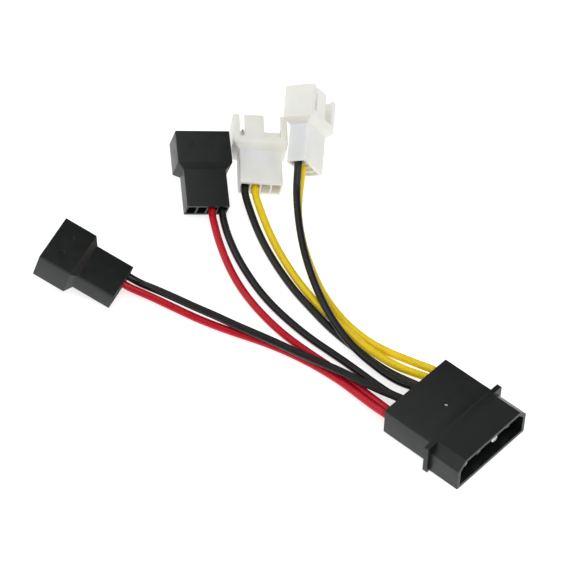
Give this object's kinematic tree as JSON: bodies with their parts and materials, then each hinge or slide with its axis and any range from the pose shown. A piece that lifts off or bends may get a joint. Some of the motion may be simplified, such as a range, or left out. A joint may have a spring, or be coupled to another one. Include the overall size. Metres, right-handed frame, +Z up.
{
  "type": "fan adapter cable",
  "caption": "Short fan adapter cable: a flat black shrouded power plug with round pins feeds small keyed fan plugs, black or ivory, over loose coloured wires.",
  "frame": {"origin": "middle of the flat underside of the power plug's shroud, the face it lies on", "axes": "+X is the power plug's mating direction, out of its mouth and away from the wires; +Y runs along its row of pins from the 5 V pin to the 12 V pin; +Z is up from the surface the cable lies on"},
  "size_m": [0.1168, 0.0892, 0.0205],
  "materials": {
    "black_nylon": "satin moulded black nylon",
    "white_nylon": "semi-gloss natural white nylon",
    "tinned_brass": "bright tin plate over brass",
    "black_pvc": "smooth black vinyl insulation",
    "red_pvc": "smooth red vinyl insulation",
    "yellow_pvc": "smooth yellow vinyl insulation"
  },
  "bodies": {
    "root": {"power_plug_housing": "black_nylon", "power_pin_5v": "tinned_brass", "power_pin_ground_a": "tinned_brass", "power_pin_ground_b": "tinned_brass", "power_pin_12v": "tinned_brass", "fan_plug_1_housing": "black_nylon", "fan_plug_1_pin_ground": "tinned_brass", "fan_plug_1_pin_supply": "tinned_brass", "fan_plug_2_housing": "black_nylon", "fan_plug_2_pin_ground": "tinned_brass", "fan_plug_2_pin_supply": "tinned_brass", "fan_plug_3_housing": "white_nylon", "fan_plug_3_pin_ground": "tinned_brass", "fan_plug_3_pin_supply": "tinned_brass", "fan_plug_4_housing": "white_nylon", "fan_plug_4_pin_ground": "tinned_brass", "fan_plug_4_pin_supply": "tinned_brass", "wire_1_ground": "black_pvc", "wire_1_supply": "red_pvc", "wire_2_ground": "black_pvc", "wire_2_supply": "red_pvc", "wire_3_ground": "black_pvc", "wire_3_supply": "yellow_pvc", "wire_4_ground": "black_pvc", "wire_4_supply": "yellow_pvc"}
  },
  "joints": []
}
